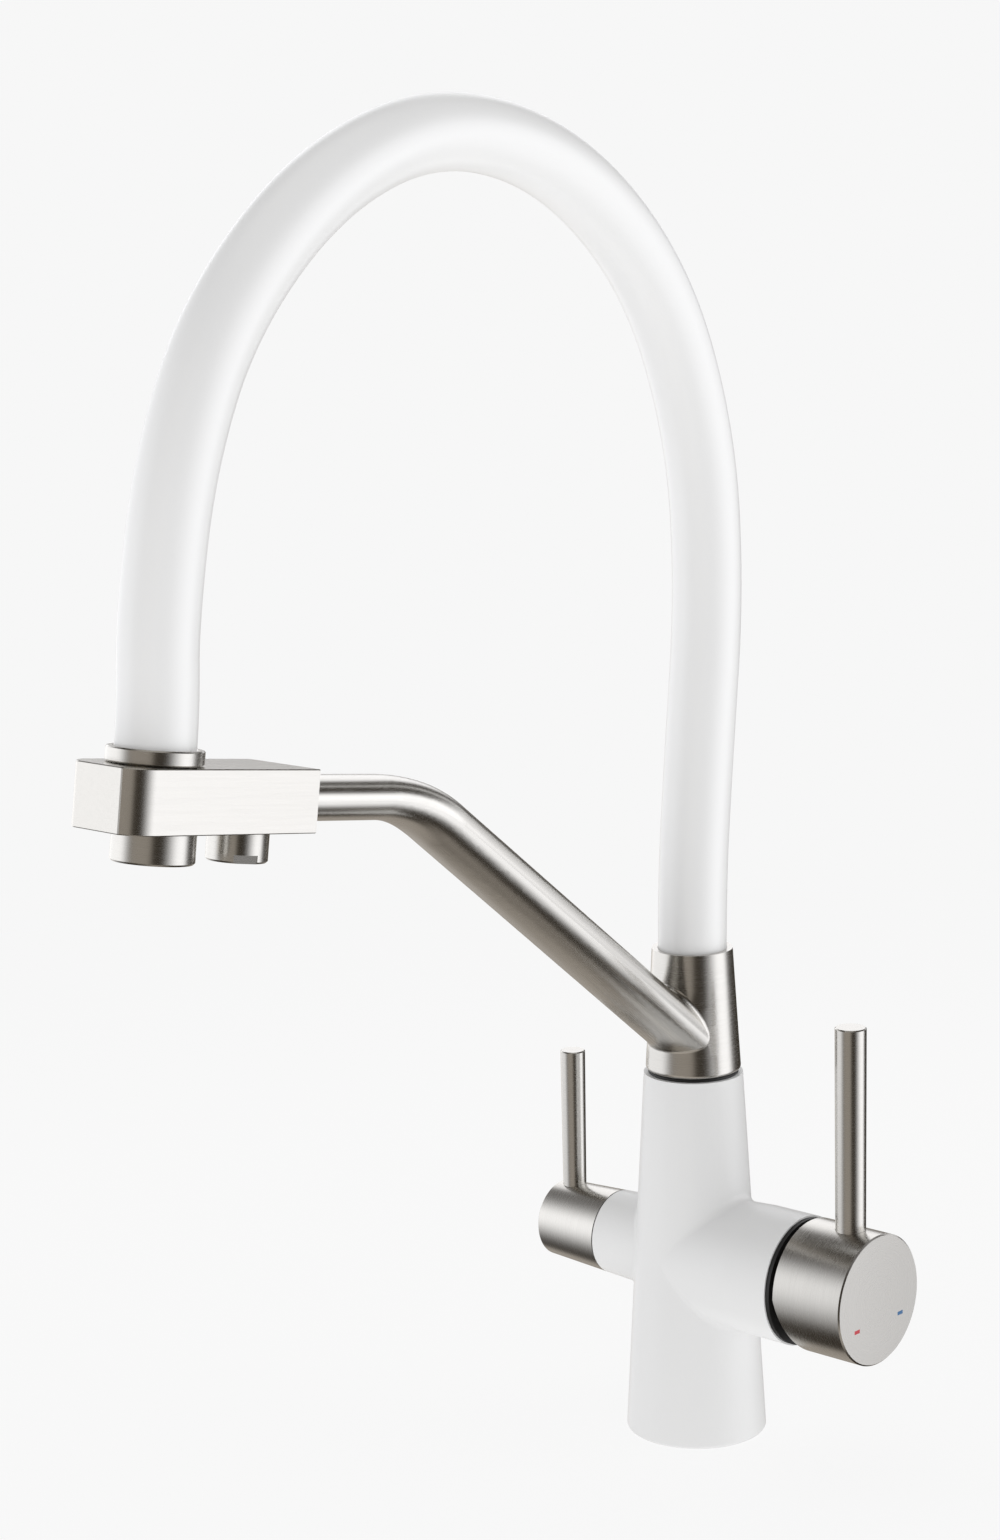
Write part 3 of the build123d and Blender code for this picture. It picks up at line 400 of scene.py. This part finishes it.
@dataclass(frozen=True)
class HoseSkin:
    """Smooth white hose skin with faint draw lines along its length."""

    name: str
    colour: Colour
    tint: float = 0.985
    # above 0.274 all over, because the denoiser marks the places where a surface passes that level
    roughness: float = 0.31
    gloss_drift: Span = (-0.03, 0.04)
    specular: float = 0.75
    line_steps: float = 900.0
    line_layers: float = 2.0
    line_stretch: float = 0.003
    line_depth: float = 0.000002
    drift_steps: float = 14.0

    def material(self) -> bpy.types.Material:
        """The lines follow the hose's own coordinates, long along it and fine round it.

        Returns:
            The material.
        """
        board = NodeBoard.of_material(self.name)
        place = board.add("ShaderNodeAttribute", attribute_name=SurfaceGrid.PLACE).outputs["Vector"]
        scale = (self.line_steps * self.line_stretch, self.line_steps, self.line_steps)
        drawn = board.add("ShaderNodeMapping", {"Vector": place, "Scale": scale})
        lines = board.noise(drawn.outputs["Vector"], self.line_layers)
        slow = board.noise(board.place(self.drift_steps))
        return board.surface({
            "Base Color": board.tints(slow, shade(self.colour, self.tint), self.colour),
            "Roughness": board.gloss(slow, self.roughness, self.gloss_drift),
            "Normal": board.bump(lines, self.line_depth),
            "Specular IOR Level": self.specular,
        })


class SurfaceGrid:
    """A mesh whose points are a function of two parameters, on a grid of rows and columns."""

    PLACE = "surface_place"

    @classmethod
    def piece(cls, name: str, points: np.ndarray, places: np.ndarray | None = None,
              ring_rows: bool = True) -> bpy.types.Object:
        """Makes a piece from a grid of points.

        Rows follow one another along the shape and each row runs round it, so quad (i, j) joins rows i and
        i + 1 and columns j and j + 1, the last column with the first. A ring of rows joins the last row with
        the first too.

        Args:
            name: The piece's name.
            points: Array of rows by columns by 3.
            places: For each point, three coordinates for patterns that follow the surface.
            ring_rows: Whether the rows close into a ring.

        Returns:
            The new object, in the scene, at the origin.
        """
        rows, columns = points.shape[:2]
        i, j = np.meshgrid(np.arange(rows if ring_rows else rows - 1), np.arange(columns), indexing="ij")
        i_next, j_next = (i + 1) % rows, (j + 1) % columns
        corners = np.stack([i * columns + j, i * columns + j_next, i_next * columns + j_next,
                            i_next * columns + j], axis=-1).reshape(-1, 4)
        mesh = bpy.data.meshes.new(name)
        mesh.from_pydata(points.reshape(-1, 3), [], corners)
        mesh.polygons.foreach_set("use_smooth", np.ones(len(corners), bool))
        if places is not None:
            layer = mesh.attributes.new(cls.PLACE, "FLOAT_VECTOR", "POINT")
            layer.data.foreach_set("vector", places.astype(np.float32).ravel())
        return stand(name, mesh)


@dataclass
class Hose:
    """White hose in an arch from the collar to the outlet block, and the water tube inside it."""

    skin_r: float = 0.012
    skin_bore_r: float = 0.0084
    tube_r: float = 0.0065
    tube_bore_r: float = 0.0041
    tube_inset: float = 0.004
    diameter: float = 0.024
    seat: Flat = (0.0, 0.166)
    block: Flat = (-0.24405, 0.27645)
    block_pitch: float = math.radians(8.2)
    end_run: float = 0.01565
    route: list[Flat] = field(default_factory=lambda: [
        (0.0, 0.197), (0.0045, 0.243), (0.011, 0.300), (0.007, 0.355), (-0.016, 0.409), (-0.062, 0.447),
        (-0.118, 0.459), (-0.170, 0.442), (-0.212, 0.404), (-0.232, 0.362), (-0.241, 0.316),
    ])
    rings: int = 260
    sides: int = 72
    resolution: int = 40

    @staticmethod
    def reach(line: np.ndarray) -> np.ndarray:
        """How far along the line each of its points lies."""
        return np.concatenate([[0.0], np.cumsum(np.linalg.norm(np.diff(line, axis=0), axis=1))])

    def line(self, inset: float) -> np.ndarray:
        """Points of the hose's middle line, read from a smooth spline that its route controls.

        Args:
            inset: How much shorter the line is at each end.

        Returns:
            Array of rings by 3, evenly spaced.
        """
        up = np.array([math.sin(self.block_pitch), math.cos(self.block_pitch)])
        end = np.array(self.block)
        start = (self.seat[0], self.seat[1] + inset)
        flat = np.array([start, *self.route, end + up * self.end_run, end + up * inset])
        controls = np.column_stack([np.zeros(len(flat)), flat, np.ones(len(flat))])
        curve = bpy.data.curves.new("hose_route", "CURVE")
        curve.dimensions = "3D"
        curve.resolution_u = self.resolution
        spline = curve.splines.new("NURBS")
        spline.points.add(len(controls) - 1)
        spline.points.foreach_set("co", controls.ravel())
        spline.order_u = 3
        spline.use_endpoint_u = True
        holder = stand("hose_route", curve)
        graph = bpy.context.evaluated_depsgraph_get()
        traced = bpy.data.meshes.new_from_object(holder.evaluated_get(graph))
        points = np.empty(len(traced.vertices) * 3)
        traced.vertices.foreach_get("co", points)
        points = points.reshape(-1, 3)
        bpy.data.objects.remove(holder)
        bpy.data.meshes.remove(traced)
        along = self.reach(points)
        even = np.linspace(0.0, along[-1], self.rings)
        return np.column_stack([np.interp(even, along, points[:, k]) for k in range(3)])

    def tube(self, name: str, line: np.ndarray, outer: float, inner: float) -> bpy.types.Object:
        """A pipe along a line in the Y-Z plane.

        Point (s, a) is line(s) + r (cos a X + sin a N(s)), where N is square to the line in its plane. The
        rows run along the outer wall and back along the inner one.

        Args:
            name: The piece's name.
            line: Points of the middle line.
            outer: Outer radius.
            inner: Bore radius.

        Returns:
            The pipe.
        """
        ahead = np.gradient(line, axis=0)
        ahead /= np.linalg.norm(ahead, axis=1, keepdims=True)
        across = np.column_stack([np.zeros(len(line)), -ahead[:, 2], ahead[:, 1]])
        angle = np.linspace(0.0, 2.0 * math.pi, self.sides, endpoint=False)
        round_x = np.cos(angle)[None, :, None] * np.array([1.0, 0.0, 0.0])
        round_n = np.sin(angle)[None, :, None] * across[:, None, :]
        walls = [line[:, None, :] + r * (round_x + round_n) for r in (outer, inner)]
        points = np.concatenate([walls[0], walls[1][::-1]])
        along = np.linspace(0.0, self.reach(line)[-1], len(line))
        rows = np.concatenate([along, along[::-1]])[:, None]
        places = np.broadcast_arrays(rows, outer * np.cos(angle), outer * np.sin(angle))
        return SurfaceGrid.piece(name, points, np.stack(places, axis=-1))

    def build(self, finishes: "Finishes") -> list[bpy.types.Object]:
        """Makes the skin and the inner tube, which turn with the spout.

        Args:
            finishes: The tap's materials.

        Returns:
            The two pieces.
        """
        line = self.line(0.0)
        skin = self.tube("hose_skin", line, self.skin_r, self.skin_bore_r)
        tube = self.tube("hose_water_tube", self.line(self.tube_inset), self.tube_r, self.tube_bore_r)
        for piece, node, slot in ((skin, "hose_sheath", "white_sheath"), (tube, "inner_hose", "inner_tube")):
            piece.data.materials.append(finishes.slots[slot])
            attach(piece, "spout")
            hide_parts(node)
        return [skin, tube]


class Finishes:
    """The tap's materials, one for each material slot, and nickel brushed the way each fitting needs."""

    ARM_SLOPE = math.radians(38.2)
    # along Y, where the arm's level end turns down, and where it meets the collar
    ARM_BORDERS = (-0.142, -0.019)

    def __init__(self) -> None:
        """Makes every material once."""
        plain = [
            SatinPaint("white_paint", (0.80, 0.80, 0.80)),
            HoseSkin("white_sheath", (0.89, 0.89, 0.89)),
            Moulding("brass", (0.66, 0.50, 0.24), 0.28, metallic=1.0),
            Moulding("disc_ceramic", (0.86, 0.85, 0.82), 0.2),
            Moulding("black_rubber", (0.012, 0.012, 0.012), 0.6),
            Moulding("grey_plastic", (0.42, 0.43, 0.44), 0.45),
            Moulding("black_plastic", (0.010, 0.010, 0.010), 0.45),
            Moulding("screw_steel", (0.50, 0.50, 0.51), 0.3, metallic=1.0),
            Moulding("inner_tube", (0.72, 0.72, 0.70), 0.4),
            Moulding("red_mark", (0.52, 0.03, 0.045), 0.3),
            Moulding("blue_mark", (0.03, 0.13, 0.30), 0.3),
        ]
        self.slots = {finish.name: finish.material() for finish in plain}
        pitch = Hose.block_pitch
        kinds = {
            "mixer_cap": (Grain.TURNED_X, 0.0), "filter_cap": (Grain.TURNED_X, 0.0),
            "mixer_lever": (Grain.TURNED_Z, 0.0), "filter_lever": (Grain.TURNED_Z, 0.0),
            "nozzle_housing": (Grain.TURNED_Z, pitch), "filter_nozzle": (Grain.TURNED_Z, pitch),
            "hose_ring": (Grain.TURNED_Z, pitch), "outlet_block": (Grain.BRUSHED_Y, pitch),
        }
        self.nickel = {
            node: BrushedMetal("nickel_" + node, (Stroke(grain, self.middle(node), lean),)).material()
            for node, (grain, lean) in kinds.items()
        }
        arm = (Stroke(Grain.BRUSHED_Y, lean=pitch), Stroke(Grain.BRUSHED_Y, lean=self.ARM_SLOPE),
               Stroke(Grain.TURNED_Z))
        self.nickel["swivel_arm"] = BrushedMetal("nickel_swivel_arm", arm, self.ARM_BORDERS).material()

    @staticmethod
    def middle(node: str) -> Point:
        """The middle of a CAD node's box."""
        low, high = (np.array(corner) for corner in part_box(node))
        return tuple(float(value) for value in 0.5 * (low + high))

    def of_node(self, node: str, slot: str) -> bpy.types.Material:
        """The material of a CAD node.

        Args:
            node: The node's name.
            slot: Its material slot in the record.

        Returns:
            Nickel brushed the node's own way, or its slot's material.
        """
        return self.nickel.get(node) or self.slots[slot]

    def dress(self) -> list[str]:
        """Gives every CAD node its material.

        Returns:
            The nodes' names.
        """
        for entry in frame["record"]["subparts"]:
            data = frame["nodes"][entry["node"]].data
            data.materials.clear()
            data.materials.append(self.of_node(entry["node"], entry["material_slot"]))
        return sorted(frame["nodes"])


@dataclass(frozen=True)
class SoftBox:
    """A soft-edged light in the mirror tent.

    Its azimuth and elevation each hold four angles in degrees: where the light starts, where it is full, up
    to where it stays full, and where it ends.
    """

    glow: Colour
    azimuth: Edges
    elevation: Edges

    def seen(self, board: NodeBoard, azimuth: bpy.types.NodeSocket,
             elevation: bpy.types.NodeSocket) -> bpy.types.NodeSocket:
        """The light's glow in a direction, times a smooth step at each of its four edges.

        Args:
            board: The tent's tree.
            azimuth: The direction's azimuth.
            elevation: The direction's elevation.

        Returns:
            The glow's socket.
        """
        share: Any = 1.0
        for angle, (start, full, past, end) in ((azimuth, self.azimuth), (elevation, self.elevation)):
            share = board.math("MULTIPLY", board.ease(angle, start, full), share)
            share = board.math("MULTIPLY", board.ease(angle, end, past), share)
        return board.vector("SCALE", self.glow, Scale=share)


ALL_ROUND: Edges = (-400.0, -399.0, 399.0, 400.0)


def across_back(glow: Colour, azimuth: Edges, elevation: Edges) -> tuple[SoftBox, SoftBox]:
    """A light across the back, where the azimuth jumps from 180 to -180 degrees.

    Args:
        glow: Its colour and level.
        azimuth: Its edges, counted on past 180 degrees.
        elevation: Its upper and lower edges.

    Returns:
        The same light counted from either side.
    """
    start, full, past, end = (angle - 360.0 for angle in azimuth)
    return SoftBox(glow, azimuth, elevation), SoftBox(glow, (start, full, past, end), elevation)


@dataclass(frozen=True)
class Lamp:
    """A square soft light that stands round the object, in degrees and metres, aimed at its middle."""

    name: str
    azimuth: float
    elevation: float
    distance: float
    size: float
    watts: float


@dataclass
class Studio:
    """Pale floor and surroundings, soft light, a tent of lights for the metal to mirror, and the camera."""

    azimuth: float = math.radians(42.74)
    elevation: float = math.radians(10.07)
    distance: float = 1.08176
    aim_side: float = -0.06611
    aim_height: float = 0.24042
    roll: float = math.radians(-1.15)
    focal_pixels: float = 3118.54
    long_side_pixels: float = 1540.0
    sensor: float = 36.0
    pale: float = 0.93
    sky_light: float = 0.72
    floor_light: float = 1.05
    floor_half: float = 6.0
    shadow_share: float = 0.18
    shadow_lit: float = 0.70
    shadow_reach: Span = (0.35, 0.9)
    middle: Point = (0.0, -0.11, 0.22)
    lamps: tuple[Lamp, ...] = (
        Lamp("soft_light_right", 133.0, 8.0, 1.8, 1.2, 4.2),
        Lamp("soft_light_front", 50.0, 5.0, 1.8, 1.2, 1.0),
        Lamp("soft_light_arch", -90.0, 74.0, 0.75, 0.4, 0.30),
    )
    tent_radius: float = 3.0
    tent_rings: int = 48
    tent_glow: Colour = (0.042, 0.034, 0.025)
    soft_boxes: tuple[SoftBox, ...] = (
        # the large light at the front left, and a dim one in front
        SoftBox((1.48, 1.50, 1.55), (-132.0, -100.0, -47.0, -6.0), (-54.0, 2.0, 9.0, 51.0)),
        SoftBox((0.33, 0.304, 0.274), (-28.0, 0.0, 34.0, 50.0), (-50.0, -25.0, 30.0, 50.0)),
        # the large light at the right
        SoftBox((1.56, 1.58, 1.64), (68.0, 120.0, 134.0, 158.0), (-63.0, -16.0, 22.0, 46.0)),
        # back left, for the arm's upper rim and the levers' tops
        SoftBox((1.45, 1.46, 1.50), (-160.0, -149.0, -122.0, -104.0), (2.0, 10.0, 34.0, 48.0)),
        # back right and back, for the bright line along the arm
        SoftBox((1.12, 1.13, 1.17), (130.0, 150.0, 164.0, 176.0), (-10.0, 0.0, 12.0, 32.0)),
        *across_back((0.85, 0.86, 0.89), (164.0, 176.0, 186.0, 198.0), (-4.0, 5.0, 13.0, 26.0)),
        # the floor straight below, and low at the back left for the arm's underside
        SoftBox((0.27, 0.247, 0.223), ALL_ROUND, (-100.0, -99.0, -88.0, -70.0)),
        SoftBox((0.39, 0.358, 0.322), (-160.0, -140.0, -116.0, -92.0), (-84.0, -64.0, -10.0, 6.0)),
        # overhead
        SoftBox((0.40, 0.39, 0.37), ALL_ROUND, (60.0, 76.0, 99.0, 100.0)),
        # the floor in front and behind
        SoftBox((0.46, 0.43, 0.395), (-44.0, -18.0, 64.0, 90.0), (-86.0, -74.0, -40.0, -26.0)),
        *across_back((0.40, 0.37, 0.34), (150.0, 168.0, 192.0, 210.0), (-50.0, -40.0, -28.0, -20.0)),
    )

    def way(self, azimuth: float, elevation: float) -> Vector:
        """The direction from the object, azimuth 0 towards -Y and 90 degrees towards +X.

        Args:
            azimuth: Angle round the object, in radians.
            elevation: Angle above the horizon, in radians.

        Returns:
            A unit vector.
        """
        flat = math.cos(elevation)
        return Vector((math.sin(azimuth) * flat, -math.cos(azimuth) * flat, math.sin(elevation)))

    def camera(self) -> None:
        """Sets the camera where the photograph was taken from."""
        back = self.way(self.azimuth, self.elevation)
        right = Vector((math.cos(self.azimuth), math.sin(self.azimuth), 0.0))
        up = back.cross(right)
        c, s = math.cos(self.roll), math.sin(self.roll)
        side, top = right * c + up * s, up * c - right * s
        data = bpy.data.cameras.new("camera")
        data.sensor_width = self.sensor
        data.lens = self.focal_pixels * self.sensor / self.long_side_pixels
        camera = stand("camera", data)
        place = right * self.aim_side + Vector((0.0, 0.0, self.aim_height)) + back * self.distance
        turn = Matrix((side, top, back)).transposed().to_4x4()
        camera.matrix_world = Matrix.Translation(place) @ turn
        bpy.context.scene.camera = camera

    def seen_share(self, board: NodeBoard) -> bpy.types.NodeSocket:
        """1 for what the camera, a mirror or glass sees, 0 for light that falls on the object.

        Args:
            board: The tree that asks.

        Returns:
            The share's socket.
        """
        rays = board.add("ShaderNodeLightPath").outputs
        looks = board.math("MAXIMUM", rays["Is Camera Ray"], rays["Is Glossy Ray"])
        return board.math("MAXIMUM", looks, rays["Is Transmission Ray"])

    def world(self) -> None:
        """Pale surroundings to look at, and an even light a little weaker than that."""
        world = bpy.data.worlds.new("studio_light")
        board = NodeBoard(world)
        strength = board.blend(self.seen_share(board), self.sky_light, self.pale)
        light = board.add("ShaderNodeBackground", {"Color": WHITE, "Strength": strength})
        board.add("ShaderNodeOutputWorld", {"Surface": light.outputs[0]})
        bpy.context.scene.world = world

    def floor(self) -> None:
        """A pale lit floor as bright as the surroundings, with a light shadow near the object."""
        board = NodeBoard.of_material("pale_floor")
        reach = board.vector("LENGTH", board.place())
        shadow_full, shadow_gone = self.shadow_reach
        near = board.math("MULTIPLY", board.ease(reach, shadow_gone, shadow_full), self.shadow_share)
        seen = board.math("SUBTRACT", self.pale, board.math("MULTIPLY", near, self.shadow_lit))
        strength = board.blend(self.seen_share(board), self.floor_light, seen)
        glow = board.add("ShaderNodeEmission", {"Color": WHITE, "Strength": strength})
        paint = board.add("ShaderNodeBsdfDiffuse", {"Color": near})
        both = board.add("ShaderNodeAddShader", {0: glow.outputs[0], 1: paint.outputs[0]})
        board.add("ShaderNodeOutputMaterial", {"Surface": both.outputs[0]})
        half = self.floor_half
        mesh = bpy.data.meshes.new("floor")
        corners = [(-half, -half, 0.0), (half, -half, 0.0), (half, half, 0.0), (-half, half, 0.0)]
        mesh.from_pydata(corners, [], [(0, 1, 2, 3)])
        mesh.materials.append(board.holder)
        sheet = stand("floor", mesh)
        sheet.visible_glossy = False

    def tent(self) -> None:
        """A round tent of soft lights and dark gaps that only mirrors see.

        Its point at angle a round it and elevation e is its middle + radius (cos a cos e, sin a cos e,
        sin e), and its glow is the sum of its lights' levels in that direction.
        """
        around = np.linspace(0.0, 2.0 * math.pi, 2 * self.tent_rings, endpoint=False)
        upward = np.linspace(-0.5 * math.pi, 0.5 * math.pi, self.tent_rings)[:, None]
        flat = np.cos(upward)
        way = np.broadcast_arrays(np.cos(around) * flat, np.sin(around) * flat, np.sin(upward))
        points = np.array(self.middle) + self.tent_radius * np.stack(way, axis=-1)
        tent = SurfaceGrid.piece("mirror_tent", points, ring_rows=False)
        board = NodeBoard.of_material("mirror_tent")
        out = board.vector("NORMALIZE", board.vector("SUBTRACT", board.place(), self.middle))
        axes = board.axes(out)
        ahead = board.math("MULTIPLY", axes["Y"], -1.0)
        azimuth = board.math("DEGREES", board.math("ARCTAN2", axes["X"], ahead))
        elevation = board.math("DEGREES", board.math("ARCSINE", axes["Z"]))
        colour: Any = self.tent_glow
        for box in self.soft_boxes:
            colour = board.vector("ADD", box.seen(board, azimuth, elevation), colour)
        glow = board.add("ShaderNodeEmission", {"Color": colour, "Strength": 1.0})
        board.add("ShaderNodeOutputMaterial", {"Surface": glow.outputs[0]})
        tent.data.materials.append(board.holder)
        tent.visible_camera = False
        tent.visible_diffuse = False
        tent.visible_shadow = False

    def light(self, lamp: Lamp) -> None:
        """Sets up a lamp, which neither the camera nor the metal sees.

        Args:
            lamp: Its place, size and power.
        """
        data = bpy.data.lights.new(lamp.name, "AREA")
        data.size = lamp.size
        data.energy = lamp.watts
        out = self.way(math.radians(lamp.azimuth), math.radians(lamp.elevation))
        light = stand(lamp.name, data)
        light.location = Vector(self.middle) + out * lamp.distance
        light.rotation_mode = "QUATERNION"
        light.rotation_quaternion = (-out).to_track_quat("-Z", "Y")
        light.visible_camera = False
        light.visible_glossy = False

    def build(self) -> None:
        """Sets up the whole studio."""
        self.camera()
        self.world()
        self.floor()
        self.tent()
        for lamp in self.lamps:
            self.light(lamp)
        bpy.context.scene.view_settings.view_transform = "Standard"


def main() -> None:
    """Builds the hose, dresses the nodes and sets the studio."""
    logging.basicConfig(level=logging.INFO, format="%(message)s")
    finishes = Finishes()
    for node in finishes.dress():
        LOG.info("dressed %s", node)
    for piece in Hose().build(finishes):
        LOG.info("built %s", piece.name)
    Studio().build()


if __name__ == "__main__":
    main()
